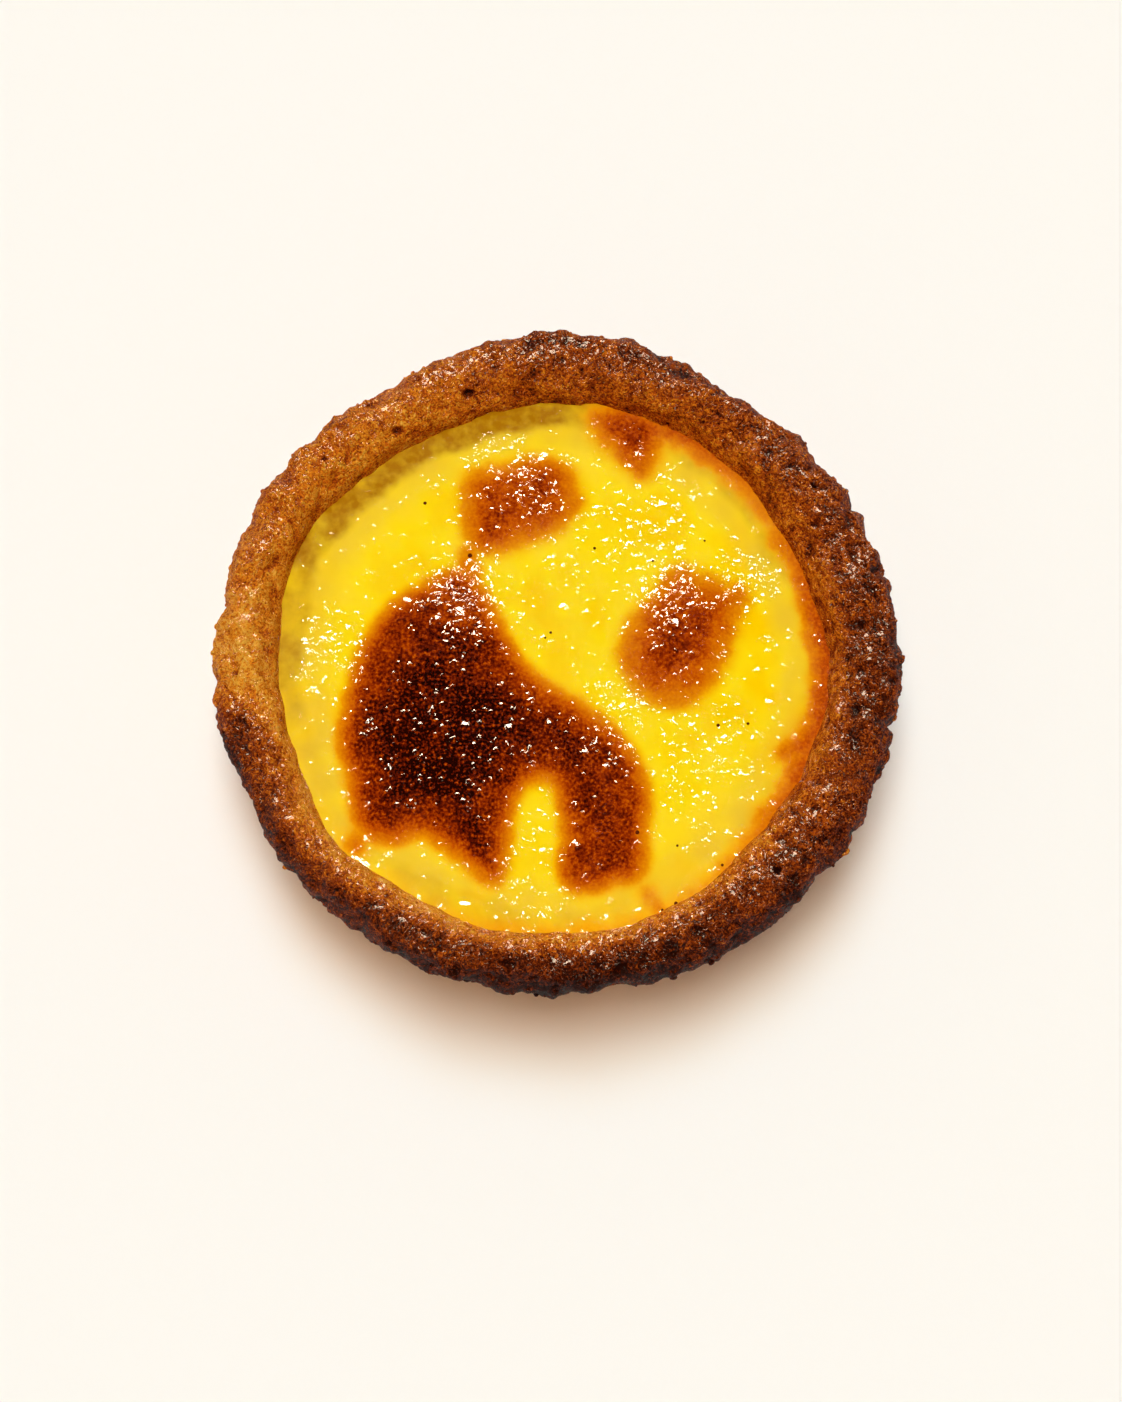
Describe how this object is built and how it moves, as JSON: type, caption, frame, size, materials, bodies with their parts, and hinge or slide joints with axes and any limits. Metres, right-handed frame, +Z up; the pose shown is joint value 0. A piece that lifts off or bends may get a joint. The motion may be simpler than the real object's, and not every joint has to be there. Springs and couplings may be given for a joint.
{
  "type": "cream cheese tart",
  "caption": "Round hand-pressed short pastry shell with a craggy browned lip, filled with baked cream cheese custard with scorched blisters.",
  "frame": {"origin": "middle of the base, on the surface that the tart stands on", "axes": "+Z up out of the custard, -Y towards the viewer, +X to the viewer's right"},
  "size_m": [0.0761, 0.0759, 0.0245],
  "materials": {
    "baked_pastry": "golden to dark brown baked short pastry, crumbly, with a slight buttery sheen",
    "baked_custard": "glossy baked cream cheese custard, bright yellow with scorched brown blisters"
  },
  "bodies": {
    "root": {"crust": "baked_pastry", "filling": "baked_custard"}
  },
  "joints": []
}
